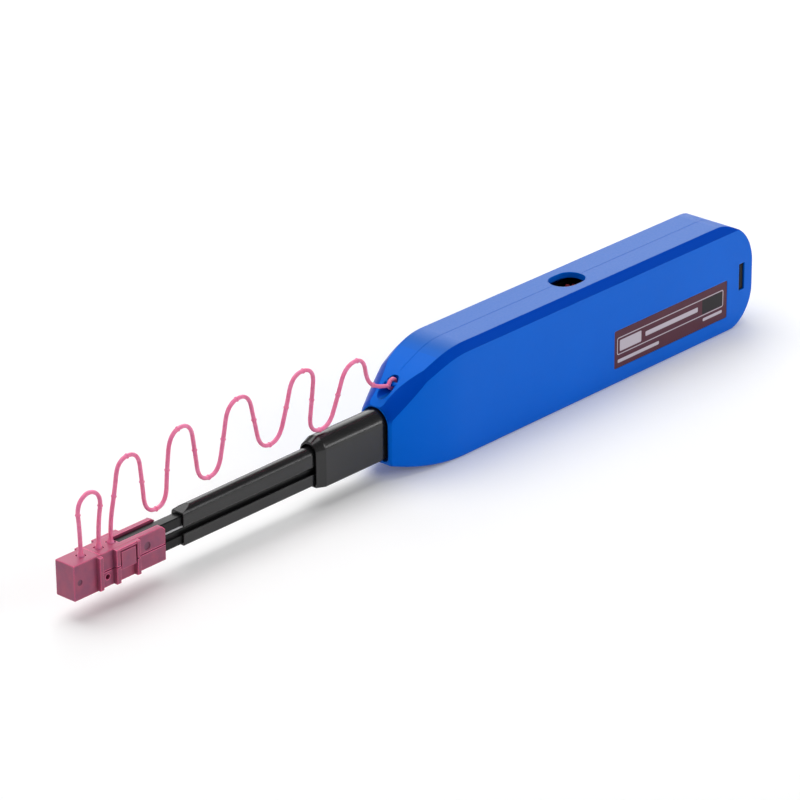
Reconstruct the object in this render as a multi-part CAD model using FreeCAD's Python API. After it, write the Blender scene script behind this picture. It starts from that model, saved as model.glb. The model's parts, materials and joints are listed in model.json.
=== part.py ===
"""Fibre connector cleaning pen: a push-to-wind tape cleaner with a long nozzle and tethered caps.

X runs along the pen, with the cleaning tip towards -X. Y is across it, and Z is up. The pen stands
on the flat underside of its handle. Units are millimetres.
"""
import FreeCAD, Part
import math
import os

V = FreeCAD.Vector

# Driving dimensions of the whole pen
pen_length = 250.0
handle_length = 142.3
handle_width = 18.0
handle_height = 30.7
wall = 1.6
push_stroke = 10.0

rear_x = pen_length / 2
tip_x = -pen_length / 2
nose_x = rear_x - handle_length

# Handle outline
rear_top_radius = 13.0
rear_bottom_radius = 11.0
brow_radius = 24.0          # rounds the flat top into the nose
brow_angle = math.radians(21.8)
brow_x = nose_x + 25.3
nose_radius = 62.0          # the long slope of the nose
taper_radius = 75.0         # the nose narrows and lifts on this radius
taper_x = nose_x + 24.2
mouth_half_width = 4.62      # the nose closes to an arch round the mouth
mouth_low_z = 4.35
mouth_lip = 0.9
flare_length = 20.0          # and opens from it until it clears the top chamfers
flare_half_width = 14.5
flare_arch_z = 20.5
top_chamfer = 2.05
bottom_round = 0.7
parting_width = 0.12
parting_depth = 0.06
parting_front_x = nose_x + 9.5
cavity_front_x = nose_x + 25.4
cavity_half_width = handle_width / 2 - wall

# Sight window, label, latch slot
window_x = 57.3
window_length = 10.8
window_width = 8.0
label_front_x = 66.4
label_rear_x = 114.2
label_low_z = 4.45
label_high_z = 15.3
label_recess = 0.3
label_thickness = 0.25
slot_front_x = 119.3
slot_width = 2.3
slot_low_z = 10.7
slot_high_z = 18.4

# Outer sleeve of the nozzle and the tunnel it slides in
sleeve_front_x = -41.7
sleeve_half_width = 3.65
sleeve_low_z = 5.5
sleeve_arch_z = 14.95
sleeve_bevel_length = 2.6
sleeve_bevel = 0.9
tunnel_gap = 0.72
tunnel_drop = 0.3            # keeps a lip of wall over the mouth
flange_thickness = 2.0
flange_gap = 0.3

# Inner sleeve, with a slot along each side
inner_front_x = -87.5
inner_rear_x = -22.0
inner_half_width = 2.07
inner_low_z = 6.45
inner_arch_front_z = 14.0
inner_arch_rear_z = 14.45
inner_slot_low_z = 9.6
inner_slot_high_z = 11.5
inner_slot_rear_x = -36.0
inner_bore_gap = 0.06
sleeve_bore_gap = 0.35

# Cleaning tip and tape
tip_half_width = 1.47
tip_low_z = 6.95
tip_high_z = 14.3
tip_rail_front_x = -110.0
tip_rail_rear_x = -20.0
tape_half_width = 1.2
tape_thickness = 0.65
tape_gap = 0.03
feed_z = 11.4
return_z = 8.3
pad_front_x = -115.6
pad_low_z = 7.6
pad_high_z = 13.55
pad_corner = 0.6

# Caps
cap_half_width = 3.2
cap_low_z = 5.8
cap_high_z = 15.0
seam_x = -116.35
guide_rear_x = -94.7
rib_proud = 1.2
cap_edge_round = 0.3
rib_edge_round = 0.22
loop_front_x = -119.6
loop_rear_x = -113.8
strap_root_x = -109.85
root_pit = 2.0
root_pit_depth = 0.25

# Tether
strap_diameter = 1.1
ring_x = -10.7
ring_z = 23.3
ring_radius = 1.25
ring_wire = 0.5
ring_bar_radius = 0.6

# Tape drive
module = 0.8
pressure_angle = math.radians(25)
pinion_teeth = 12
reel_teeth = 30
backlash = 0.12
pinion_z = 8.8
reel_z = 15.3
supply_x = 32.3
take_up_x = 58.4
flange_radius = 11.4
hub_radius = 4.0
supply_roll_radius = 9.0
take_up_roll_radius = 7.0
axle_radius = 1.5
bore_clearance = 0.05
reel_gear_y = (1.4, 2.45)
pinion_y = (1.4, 3.75)
rack_y = (2.6, 3.7)
rack_teeth = 8
frame_left_y = -4.9
frame_plate = 1.3
frame_right_y = 5.1
cover_plate = 1.2
frame_rear_x = 86.0

pinion_pitch = module * pinion_teeth / 2
reel_pitch = module * reel_teeth / 2
centre_rise = reel_z - pinion_z
pinion_x = take_up_x + math.sqrt((pinion_pitch + reel_pitch) ** 2 - centre_rise ** 2)


def arc(cx, cz, radius, start, end):
    """An arc in the XZ plane, by its centre and its angles from +X towards +Z."""
    points = []
    for angle in (start, (start + end) / 2, end):
        points.append(V(cx + radius * math.cos(angle), 0, cz + radius * math.sin(angle)))
    return Part.Arc(*points)


def box(x0, x1, y0, y1, z0, z1):
    return Part.makeBox(x1 - x0, y1 - y0, z1 - z0, V(x0, y0, z0))


def cylinder_y(x, z, radius, y0, y1):
    return Part.makeCylinder(radius, y1 - y0, V(x, y0, z), V(0, 1, 0))


def prism_y(wire, y0, y1):
    """A closed XZ wire made a solid between two Y planes."""
    face = Part.Face(wire)
    face.translate(V(0, y0, 0))
    return face.extrude(V(0, y1 - y0, 0))


def polygon_y(points, y0, y1):
    corners = [V(x, 0, z) for x, z in points]
    return prism_y(Part.makePolygon(corners + corners[:1]), y0, y1)


def mirrored(shape):
    return shape.mirror(V(0, 0, 0), V(0, 1, 0))


# ---------------------------------------------------------------- handle

def side_wire(inset, front_x=None):
    """The handle seen from the side, drawn in by an inset, with its nose cut square at front_x."""
    low, high, rear = inset, handle_height - inset, rear_x - inset
    top_r, bottom_r = rear_top_radius - inset, rear_bottom_radius - inset
    top_c = (rear - top_r, high - top_r)
    bottom_c = (rear - bottom_r, low + bottom_r)
    back = [
        arc(bottom_c[0], bottom_c[1], bottom_r, -math.pi / 2, 0),
        Part.LineSegment(V(rear, 0, bottom_c[1]), V(rear, 0, top_c[1])),
        arc(top_c[0], top_c[1], top_r, 0, math.pi / 2),
    ]
    if front_x is not None:
        front = [
            Part.LineSegment(V(top_c[0], 0, high), V(front_x, 0, high)),
            Part.LineSegment(V(front_x, 0, high), V(front_x, 0, low)),
            Part.LineSegment(V(front_x, 0, low), V(bottom_c[0], 0, low)),
        ]
        return Part.Wire([edge.toShape() for edge in back + front])
    brow_c = (brow_x, high - brow_radius)
    brow_end = V(brow_x - brow_radius * math.sin(brow_angle), 0,
                 brow_c[1] + brow_radius * math.cos(brow_angle))
    slope_c = (brow_end.x + nose_radius * math.sin(brow_angle),
               brow_end.z - nose_radius * math.cos(brow_angle))
    nose_angle = math.asin((slope_c[0] - nose_x) / nose_radius)
    nose_top = V(nose_x, 0, slope_c[1] + nose_radius * math.cos(nose_angle))
    sweep = math.asin((taper_x - nose_x) / taper_radius)
    nose_bottom = V(nose_x, 0, low + taper_radius * (1 - math.cos(sweep)))
    front = [
        Part.LineSegment(V(top_c[0], 0, high), V(brow_x, 0, high)),
        arc(brow_c[0], brow_c[1], brow_radius, math.pi / 2, math.pi / 2 + brow_angle),
        arc(slope_c[0], slope_c[1], nose_radius, math.pi / 2 + brow_angle, math.pi / 2 + nose_angle),
        Part.LineSegment(nose_top, nose_bottom),
        arc(taper_x, low + taper_radius, taper_radius, -math.pi / 2 - sweep, -math.pi / 2),
        Part.LineSegment(V(taper_x, 0, low), V(bottom_c[0], 0, low)),
    ]
    return Part.Wire([edge.toShape() for edge in back + front])


def plan_solid():
    """The handle seen from above: straight sides that close in towards the nose."""
    half = handle_width / 2
    sweep = math.asin((taper_x - nose_x) / taper_radius)
    narrow = half - taper_radius * (1 - math.cos(sweep))
    mid_angle = sweep / 2
    mid = V(taper_x - taper_radius * math.sin(mid_angle), half - taper_radius * (1 - math.cos(mid_angle)), 0)
    ends = rear_x + 5
    edges = [
        Part.LineSegment(V(ends, -half, 0), V(ends, half, 0)),
        Part.LineSegment(V(ends, half, 0), V(taper_x, half, 0)),
        Part.Arc(V(taper_x, half, 0), mid, V(nose_x, narrow, 0)),
        Part.LineSegment(V(nose_x, narrow, 0), V(nose_x, -narrow, 0)),
        Part.Arc(V(nose_x, -narrow, 0), V(mid.x, -mid.y, 0), V(taper_x, -half, 0)),
        Part.LineSegment(V(taper_x, -half, 0), V(ends, -half, 0)),
    ]
    face = Part.Face(Part.Wire([edge.toShape() for edge in edges]))
    return face.extrude(V(0, 0, handle_height))


def square_rear_solid():
    """The handle before its rear end is rounded, so that the long edges can be dressed first."""
    half = handle_width / 2
    block = prism_y(side_wire(0), -half, half)
    tail = box(rear_x - rear_top_radius - 2, rear_x + 5, -half, half, 0, handle_height)
    return block.fuse(tail).common(plan_solid()).removeSplitter()


def long_edges(shape, upper):
    """The edges along both sides of the top face, or of the bottom face."""
    found = []
    for edge in shape.Edges:
        ends = [vertex.Point for vertex in edge.Vertexes]
        if len(ends) != 2 or abs(ends[0].x - ends[1].x) < 1:
            continue
        middle = edge.valueAt((edge.FirstParameter + edge.LastParameter) / 2)
        if abs(middle.y) < 3:
            continue
        above = middle.z > handle_height * 0.55
        if above == upper:
            found.append(edge)
    return found


def nose_trim():
    """What is taken off round the nose, so that its square section turns into an arch at the mouth."""
    keep = Part.makeLoft([
        arch_wire(nose_x, mouth_half_width, mouth_low_z, sleeve_arch_z, 1.0),
        arch_wire(nose_x + mouth_lip, mouth_half_width + 0.88, mouth_low_z - 0.8, sleeve_arch_z + 0.05, 1.1),
        arch_wire(nose_x + flare_length, flare_half_width, -4.0, flare_arch_z, 2.6)], True, True)
    return box(nose_x - 1, nose_x + 16, -12, 12, -1, handle_height + 1).cut(keep)


def handle_solid():
    body = square_rear_solid()
    body = body.makeChamfer(top_chamfer, long_edges(body, True))
    body = body.makeFillet(bottom_round, long_edges(body, False))
    half = handle_width / 2
    body = body.common(prism_y(side_wire(0), -half, half))
    return body.cut(nose_trim()).removeSplitter()


def arch_wire(x, half_width, low_z, arch_z, corner=0.0):
    """A tombstone section across X: flat bottom, straight sides and a half-round top."""
    w, r = half_width, corner
    edges = []
    if r:
        k = r * (1 - math.sqrt(0.5))
        edges.append(Part.Arc(V(x, -w, low_z + r), V(x, -w + k, low_z + k), V(x, -w + r, low_z)))
        edges.append(Part.LineSegment(V(x, -w + r, low_z), V(x, w - r, low_z)))
        edges.append(Part.Arc(V(x, w - r, low_z), V(x, w - k, low_z + k), V(x, w, low_z + r)))
    else:
        edges.append(Part.LineSegment(V(x, -w, low_z), V(x, w, low_z)))
    edges.append(Part.LineSegment(V(x, w, low_z + r), V(x, w, arch_z)))
    edges.append(Part.Arc(V(x, w, arch_z), V(x, 0, arch_z + w), V(x, -w, arch_z)))
    edges.append(Part.LineSegment(V(x, -w, arch_z), V(x, -w, low_z + r)))
    return Part.Wire([edge.toShape() for edge in edges])


def arch_prism(x0, x1, half_width, low_z, arch_z, corner=0.0):
    face = Part.Face(arch_wire(x0, half_width, low_z, arch_z, corner))
    return face.extrude(V(x1 - x0, 0, 0))


def stadium_z(x, length, width, z0, z1):
    r = width / 2
    run = length / 2 - r
    shape = box(x - run, x + run, -r, r, z0, z1)
    for end in (x - run, x + run):
        shape = shape.fuse(Part.makeCylinder(r, z1 - z0, V(end, 0, z0)))
    return shape.removeSplitter()


def eyelet_recess():
    """A tall round-ended pocket cut straight back into the sloping nose for the tether's ring."""
    r, half_height, middle = 1.85, 2.25, ring_z - 0.45
    pocket = box(nose_x - 1, ring_x + 2.5, -r, r, middle - half_height + r, middle + half_height - r)
    for z in (middle - half_height + r, middle + half_height - r):
        pocket = pocket.fuse(Part.makeCylinder(r, ring_x + 2.5 - nose_x + 1, V(nose_x - 1, 0, z), V(1, 0, 0)))
    return pocket.removeSplitter()


def handle_shell():
    """The whole hollow handle, before it is parted into its left and right halves."""
    shell = handle_solid()
    cavity = prism_y(side_wire(wall, cavity_front_x), -cavity_half_width, cavity_half_width)
    tunnel = arch_prism(nose_x - 1, cavity_front_x + 1, sleeve_half_width + tunnel_gap,
                        sleeve_low_z - 0.55, sleeve_arch_z - tunnel_drop, 0.9)
    window = stadium_z(window_x, window_length, window_width, handle_height - 5, handle_height + 1)
    shell = shell.cut(cavity.fuse(tunnel)).cut(window).cut(eyelet_recess())
    bar = cylinder_y(ring_x, ring_z, ring_bar_radius, -2.5, 2.5)
    groove = prism_y(side_wire(-1), -parting_width / 2, parting_width / 2)
    groove = groove.cut(prism_y(side_wire(parting_depth), -parting_width, parting_width))
    groove = groove.common(box(parting_front_x, rear_x + 5, -1, 1, handle_height / 2, handle_height + 5))
    return shell.fuse(bar).cut(groove)


def boss(x, z, y0, y1):
    return cylinder_y(x, z, 2.3, y0, y1)


boss_places = ((108.0, 24.6), (108.0, 5.6))
peg_places = boss_places + ((1.0, 24.4),)
rail_z = (12.6, 14.4)
rail_x = (22.5, 117.0)
spring_wall_x = slot_front_x + 0.15


def shell_left():
    """The half with the label: side wall, ribs, peg sockets and the latch slot."""
    half = handle_shell().common(box(-200, 200, -20, 0, -5, 60))
    half = half.fuse(box(rail_x[0], rail_x[1], -cavity_half_width - 0.1, frame_left_y - 0.1, *rail_z))
    for x, z in boss_places:
        half = half.fuse(boss(x, z, -cavity_half_width - 0.1, 0))
    for x, z in peg_places:
        half = half.cut(cylinder_y(x, z, 1.25, -3, 1))
    half = half.cut(box(slot_front_x, slot_front_x + slot_width, -12, -6, slot_low_z, slot_high_z))
    recess = box(label_front_x, label_rear_x, -handle_width / 2, -handle_width / 2 + label_recess,
                 label_low_z, label_high_z)
    corners = [edge for edge in recess.Edges if abs(edge.Length - label_recess) < 1e-6]
    return half.cut(recess.makeFillet(0.5, corners)).removeSplitter()


def shell_right():
    """The plain half: side wall, ribs, pegs and the cross wall whose end latches in the slot."""
    half = handle_shell().common(box(-200, 200, 0, 20, -5, 60))
    half = half.fuse(box(rail_x[0], rail_x[1], frame_right_y + 0.1, cavity_half_width + 0.1, *rail_z))
    for x, z in boss_places:
        half = half.fuse(boss(x, z, 0, cavity_half_width + 0.1))
    for x, z in peg_places:
        half = half.fuse(cylinder_y(x, z, 1.2, -2.6, 2))
    cross = box(spring_wall_x, spring_wall_x + slot_width - 0.3, -handle_width / 2 + 0.9,
                cavity_half_width + 0.1, slot_low_z + 0.3, slot_high_z - 0.3)
    return half.fuse(cross).removeSplitter()


def label_plate():
    gap = 0.05
    y0 = -handle_width / 2 + label_recess - label_thickness
    plate = box(label_front_x + gap, label_rear_x - gap, y0, y0 + label_thickness,
                label_low_z + gap, label_high_z - gap)
    corners = [edge for edge in plate.Edges if abs(edge.Length - label_thickness) < 1e-6]
    return plate.makeFillet(0.45, corners)


def slot_insert():
    """The black stop that closes the latch slot, a little below the side wall's face."""
    gap = 0.05
    plate = box(slot_front_x + gap, slot_front_x + slot_width - gap, -8.55, -8.15,
                slot_low_z + gap, slot_high_z - gap)
    rim = box(slot_front_x + 0.55, slot_front_x + slot_width - 0.55, -8.7, -8.5,
              slot_low_z + 0.5, slot_high_z - 0.5)
    return plate.fuse(rim).removeSplitter()


# ---------------------------------------------------------------- nozzle

def outer_sleeve():
    """The tombstone tube that slides in the handle, bevelled in front and flanged behind."""
    w, low, arch_z = sleeve_half_width, sleeve_low_z, sleeve_arch_z
    bevel_x = sleeve_front_x + sleeve_bevel_length
    nose = Part.makeLoft([
        arch_wire(sleeve_front_x, w - sleeve_bevel, low + sleeve_bevel * 0.4, arch_z, 0.3),
        arch_wire(bevel_x, w, low, arch_z, 0.6)], True, True)
    rear = cavity_front_x + flange_gap + flange_thickness
    tube = arch_prism(bevel_x, rear, w, low, arch_z, 0.6)
    flange = box(rear - flange_thickness, rear, frame_left_y, frame_right_y, 2.6, 22.0)
    bore = arch_prism(sleeve_front_x - 1, rear + 1, inner_half_width + sleeve_bore_gap,
                      inner_low_z - 0.2, arch_z - 0.3)
    sleeve = nose.fuse(tube).fuse(flange).cut(bore)
    return sleeve.removeSplitter()


def inner_sleeve():
    """A slim tombstone tube, a little taller at its rear, slotted along both sides."""
    w, low = inner_half_width, inner_low_z
    tube = Part.makeLoft([
        arch_wire(inner_front_x, w, low, inner_arch_front_z, 0.25),
        arch_wire(inner_rear_x, w, low, inner_arch_rear_z, 0.25)], True, True)
    collar = box(inner_slot_rear_x + 2, inner_rear_x, -w - sleeve_bore_gap, w + sleeve_bore_gap,
                 low - 0.2, inner_arch_rear_z)
    bore = box(inner_front_x - 1, inner_rear_x + 1, -tip_half_width - inner_bore_gap,
               tip_half_width + inner_bore_gap, tip_low_z, tip_high_z)
    slot = box(inner_front_x - 1, inner_slot_rear_x, -w - 1, w + 1, inner_slot_low_z, inner_slot_high_z)
    lead_in = polygon_y([(inner_front_x - 0.5, inner_arch_front_z + 0.9),
                         (inner_front_x + 4.5, inner_arch_front_z + 2.4),
                         (inner_front_x - 0.5, inner_arch_front_z + 2.4)], -w - 1, w + 1)
    return tube.fuse(collar).cut(bore).cut(slot).cut(lead_in).removeSplitter()


def tip_upper_rail():
    """The bar over the tape, with a small step along both of its top edges."""
    low = feed_z + tape_thickness / 2 + 0.05
    rail = box(tip_rail_front_x, tip_rail_rear_x, -tip_half_width, tip_half_width, low, tip_high_z - 0.27)
    crown = box(tip_rail_front_x, tip_rail_rear_x, -tip_half_width + 0.25, tip_half_width - 0.25,
                tip_high_z - 0.27, tip_high_z)
    nose = polygon_y([(tip_rail_front_x - 1, tip_high_z - 1.0), (tip_rail_front_x - 1, tip_high_z + 1),
                      (tip_rail_front_x + 1.2, tip_high_z + 1)], -3, 3)
    return rail.fuse(crown).cut(nose).removeSplitter()


def tip_lower_rail():
    """The bar under the tape: a hollow foot for the returning tape and a web that the feed lies on."""
    rail = box(tip_rail_front_x, tip_rail_rear_x, -tip_half_width, tip_half_width, tip_low_z, 9.12)
    web = box(tip_rail_front_x, tip_rail_rear_x, -0.8, 0.8, 9.12, feed_z - tape_thickness / 2 - 0.05)
    ledge = box(tip_rail_front_x, tip_rail_rear_x, -1.2, 1.2, 10.4, feed_z - tape_thickness / 2 - 0.05)
    channel = box(tip_rail_front_x - 1, tip_rail_rear_x + 1, -tape_half_width - 0.05, tape_half_width + 0.05,
                  return_z - tape_thickness / 2 - 0.06, return_z + tape_thickness / 2 + 0.06)
    return rail.fuse(web).fuse(ledge).cut(channel).removeSplitter()


def tip_pad():
    """The rounded pad that presses the tape on the connector's face, tapering back to a short stem."""
    back = pad_front_x + 0.75
    neck = tip_rail_front_x - 1.0
    outline = [(pad_front_x, pad_low_z), (back, pad_low_z), (neck, 9.15), (tip_rail_front_x, 9.15),
               (tip_rail_front_x, 10.9), (neck, 10.9), (back, pad_high_z), (pad_front_x, pad_high_z)]
    pad = polygon_y(outline, -1.25, 1.25)
    corners = [edge for edge in pad.Edges if edge.BoundBox.XMax < pad_front_x + 0.01 and edge.BoundBox.YLength > 2]
    return pad.makeFillet(pad_corner, corners)


def tangent(first, second):
    """The straight run between two circles (x, z, radius, side); side is 1 where the path turns left round
    the circle and -1 where it turns right, seen with X to the right and Z up."""
    dx, dz = second[0] - first[0], second[1] - first[1]
    offset = second[2] * second[3] - first[2] * first[3]
    heading = math.atan2(dz, dx) - math.asin(offset / math.hypot(dx, dz))
    ends = []
    for x, z, radius, side in (first, second):
        ends.append((x + radius * side * math.sin(heading), z - radius * side * math.cos(heading)))
    return heading, ends


def belt(circles, bend_step=math.radians(24)):
    """The path of a tape drawn tight round a list of circles, with the arcs as short steps."""
    path = []
    runs = [tangent(a, b) for a, b in zip(circles, circles[1:])]
    path.append(runs[0][1][0])
    for i in range(1, len(circles) - 1):
        x, z, radius, side = circles[i]
        start, end = runs[i - 1][0], runs[i][0]
        turn = side * ((side * (end - start)) % (2 * math.pi))
        steps = max(1, math.ceil(abs(turn) / bend_step))
        for k in range(steps + 1):
            heading = start + turn * k / steps
            path.append((x + radius * side * math.sin(heading), z - radius * side * math.cos(heading)))
    path.append(runs[-1][1][1])
    return path


def ribbon(points, thickness, y0, y1):
    """A strip of even thickness along an XZ path, mitred at each bend."""
    left, right = [], []
    for i, (x, z) in enumerate(points):
        before = points[max(i - 1, 0)]
        after = points[min(i + 1, len(points) - 1)]
        first = V(x - before[0], 0, z - before[1])
        last = V(after[0] - x, 0, after[1] - z)
        if first.Length == 0:
            first = last
        if last.Length == 0:
            last = first
        first.normalize()
        last.normalize()
        normal = V(-first.z - last.z, 0, first.x + last.x)
        normal.normalize()
        reach = thickness / 2 / (normal.x * -first.z + normal.z * first.x)
        left.append((x + normal.x * reach, z + normal.z * reach))
        right.append((x - normal.x * reach, z - normal.z * reach))
    return polygon_y(left + right[::-1], y0, y1)


def cleaning_tape():
    """The tape from the supply roll, through the nozzle, round the pad and back to the take-up roll."""
    lift = tape_thickness / 2 + tape_gap
    exit_x, bend = tip_rail_front_x - 0.3, 0.5
    corner = pad_corner + lift
    circles = [
        (supply_x, reel_z, supply_roll_radius + lift, 1),
        (feed_pin[0], feed_pin[1], feed_pin[2] + lift, -1),
        (exit_x, feed_z + bend, bend, -1),
        (pad_front_x + pad_corner, pad_high_z - pad_corner, corner, 1),
        (pad_front_x + pad_corner, pad_low_z + pad_corner, corner, 1),
        (exit_x, return_z - bend, bend, -1),
        (return_pin[0], return_pin[1], return_pin[2] + lift, -1),
        (lower_front_pin[0], lower_front_pin[1], lower_front_pin[2] + lift, 1),
        (lower_rear_pin[0], lower_rear_pin[1], lower_rear_pin[2] + lift, 1),
        (take_up_x, reel_z, take_up_roll_radius + lift, 1)]
    return ribbon(belt(circles), tape_thickness, -tape_half_width, tape_half_width)


# ---------------------------------------------------------------- tape drive

def involute(base, radius):
    """The angle swept by the involute of a base circle out to a radius."""
    roll = math.sqrt(max((radius / base) ** 2 - 1, 0))
    return roll - math.atan(roll)


def gear(x, z, teeth, phase, y0, y1):
    """A spur wheel with involute teeth; phase is the angle of a tooth's centre from +X towards +Z."""
    pitch = module * teeth / 2
    base = pitch * math.cos(pressure_angle)
    tip, root = pitch + 0.8 * module, pitch - 1.05 * module
    half_tooth = (math.pi * module / 2 - backlash / 2) / 2 / pitch
    start = max(base, root)
    flank = []
    for step in range(4):
        radius = start + (tip - start) * step / 3
        flank.append((radius, half_tooth + involute(base, pitch) - involute(base, radius)))
    if root < base:
        flank.insert(0, (root, flank[0][1]))
    points = []
    for tooth in range(teeth):
        centre = phase + 2 * math.pi * tooth / teeth
        outline = [(r, centre - a) for r, a in flank] + [(r, centre + a) for r, a in flank[::-1]]
        points += [(x + r * math.cos(a), z + r * math.sin(a)) for r, a in outline]
    return polygon_y(points, y0, y1)


def drive_pinion():
    """The small wheel that runs on the handle's rack, with a hub on each side."""
    wheel = gear(pinion_x, pinion_z, pinion_teeth, -math.pi / 2, *pinion_y)
    hub = cylinder_y(pinion_x, pinion_z, 2.6, frame_left_y + frame_plate + 0.15, pinion_y[0])
    bore = cylinder_y(pinion_x, pinion_z, axle_radius + bore_clearance, -9, 9)
    return wheel.fuse(hub).cut(bore).removeSplitter()


def drive_rack():
    """The fixed rack that lies on the floor of the right shell."""
    pitch_z = pinion_z - pinion_pitch
    tip, root = pitch_z + 0.8 * module, pitch_z - 1.05 * module
    step = math.pi * module
    lean = math.tan(pressure_angle)
    half = (step / 2 - backlash / 2) / 2
    start = pinion_x + step / 2 - 2 * step
    left = start - step / 2
    points = [(left, wall), (left, root)]
    for tooth in range(rack_teeth):
        middle = start + tooth * step
        for side in (-1, 1):
            foot = (middle + side * (half + (pitch_z - root) * lean), root)
            peak = (middle + side * (half - (tip - pitch_z) * lean), tip)
            points += [foot, peak] if side < 0 else [peak, foot]
    right = start + (rack_teeth - 0.5) * step
    points += [(right, root), (right, wall)]
    return polygon_y(points, *rack_y)


def round_windows(x, z, y0, y1, ring, radius, count):
    """Round lightening holes on a ring, for a reel's flanges."""
    holes = []
    for i in range(count):
        angle = 2 * math.pi * i / count
        holes.append(cylinder_y(x + ring * math.cos(angle), z + ring * math.sin(angle), radius, y0, y1))
    return Part.makeCompound(holes)


def supply_reel():
    """A flanged bobbin that feeds clean tape."""
    reel = cylinder_y(supply_x, reel_z, hub_radius, -1.4, 1.4)
    for y0, y1 in ((-2.1, -1.4), (1.4, 2.1)):
        reel = reel.fuse(cylinder_y(supply_x, reel_z, flange_radius, y0, y1))
    reel = reel.fuse(cylinder_y(supply_x, reel_z, 2.6, frame_left_y + frame_plate + 0.15, -2.1))
    reel = reel.fuse(cylinder_y(supply_x, reel_z, 2.6, 2.1, frame_right_y - cover_plate - 0.15))
    reel = reel.cut(cylinder_y(supply_x, reel_z, axle_radius + bore_clearance, -9, 9))
    return reel.cut(round_windows(supply_x, reel_z, 1.4, 3, 7.4, 1.7, 6)).removeSplitter()


def ratchet_outline(x, z, radius, teeth):
    points = []
    for i in range(teeth):
        angle = 2 * math.pi * i / teeth
        slope = 2 * math.pi * (i + 0.92) / teeth
        points.append((x + (radius - 1.0) * math.cos(angle), z + (radius - 1.0) * math.sin(angle)))
        points.append((x + radius * math.cos(slope), z + radius * math.sin(slope)))
    return points


def take_up_reel():
    """A bobbin whose right flange is a spur wheel and whose left side carries a ratchet wheel."""
    line = math.atan2(reel_z - pinion_z, take_up_x - pinion_x)
    phase = line + math.pi - pinion_pitch / reel_pitch * (-math.pi / 2 - line) + math.pi / reel_teeth
    reel = cylinder_y(take_up_x, reel_z, hub_radius, -1.4, 1.4)
    reel = reel.fuse(cylinder_y(take_up_x, reel_z, flange_radius, -2.1, -1.4))
    reel = reel.fuse(gear(take_up_x, reel_z, reel_teeth, phase, *reel_gear_y))
    reel = reel.fuse(polygon_y(ratchet_outline(take_up_x, reel_z, 6.2, 18), -3.2, -2.1))
    reel = reel.fuse(cylinder_y(take_up_x, reel_z, 2.6, frame_left_y + frame_plate + 0.15, -3.2))
    reel = reel.fuse(cylinder_y(take_up_x, reel_z, 2.6, reel_gear_y[1], frame_right_y - cover_plate - 0.15))
    reel = reel.cut(cylinder_y(take_up_x, reel_z, axle_radius + bore_clearance, -9, 9))
    return reel.cut(round_windows(take_up_x, reel_z, 1.4, 4, 7.4, 1.7, 6)).removeSplitter()


def tape_roll(x, radius):
    """The wound tape on a reel's hub, between its flanges."""
    roll = cylinder_y(x, reel_z, radius, -tape_half_width, tape_half_width)
    return roll.cut(cylinder_y(x, reel_z, hub_radius, -2, 2))


def axle(x, z):
    """A steel axle, pressed in the frame and the cover."""
    return cylinder_y(x, z, axle_radius, frame_left_y, frame_right_y)


axle_places = ((supply_x, reel_z), (take_up_x, reel_z), (pinion_x, pinion_z))
pin_lift = tape_thickness / 2 + tape_gap
feed_pin = (16.0, feed_z + 1.7 + pin_lift, 1.7)
return_pin = (14.0, return_z - 1.2 - pin_lift, 1.2)
lower_front_pin = (24.0, 4.7, 1.2)
lower_rear_pin = (46.0, 4.7, 1.2)
guide_places = (feed_pin, return_pin, lower_front_pin, lower_rear_pin)
frame_front_x = cavity_front_x + flange_gap + flange_thickness
post_places = ((20.5, 24.5), (45.4, 26.0), (81.5, 24.5), (81.5, 17.0))


def frame_outline():
    return [(frame_front_x, 2.6), (frame_rear_x - 6, 2.6), (frame_rear_x, 8.0), (frame_rear_x, 24.0),
            (frame_rear_x - 3, 27.8), (frame_front_x + 8, 27.8), (frame_front_x, 20.0)]


def carriage_frame():
    """The moulded chassis: a side plate with windows, spacing posts, and a rear wall with a spring spigot."""
    plate = polygon_y(frame_outline(), frame_left_y, frame_left_y + frame_plate)
    for x in (supply_x, take_up_x):
        plate = plate.cut(round_windows(x, reel_z, -9, -3, 8.0, 2.2, 5))
    for x, z in post_places:
        plate = plate.fuse(cylinder_y(x, z, 1.5, frame_left_y, frame_right_y - cover_plate))
    plate = plate.fuse(box(frame_rear_x - 1.5, frame_rear_x, frame_left_y, frame_right_y - cover_plate, 9.0, 21.0))
    spigot = Part.makeCylinder(2.6, 9.0, V(frame_rear_x, 0, spring_z), V(1, 0, 0))
    plate = plate.fuse(spigot)
    for x, z in axle_places:
        plate = plate.cut(cylinder_y(x, z, axle_radius, -9, 9))
    for x, z, r in guide_places:
        plate = plate.cut(cylinder_y(x, z, r - 0.3, -9, 9))
    return plate.removeSplitter()


def carriage_cover():
    """The flat plate that closes the chassis on the right, drilled for the axles and guide pins."""
    plate = polygon_y(frame_outline(), frame_right_y - cover_plate, frame_right_y)
    for x in (supply_x, take_up_x):
        plate = plate.cut(round_windows(x, reel_z, 3, 9, 8.0, 2.2, 5))
    for x, z in axle_places:
        plate = plate.cut(cylinder_y(x, z, axle_radius, -9, 9))
    for x, z, r in guide_places:
        plate = plate.cut(cylinder_y(x, z, r - 0.3, -9, 9))
    return plate.removeSplitter()


def guide_pin(x, z, r):
    """A shouldered pin that turns the tape's path, pressed in the frame and the cover."""
    pin = cylinder_y(x, z, r - 0.3, frame_left_y, frame_right_y)
    return pin.fuse(cylinder_y(x, z, r, frame_left_y + frame_plate, frame_right_y - cover_plate))


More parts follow.
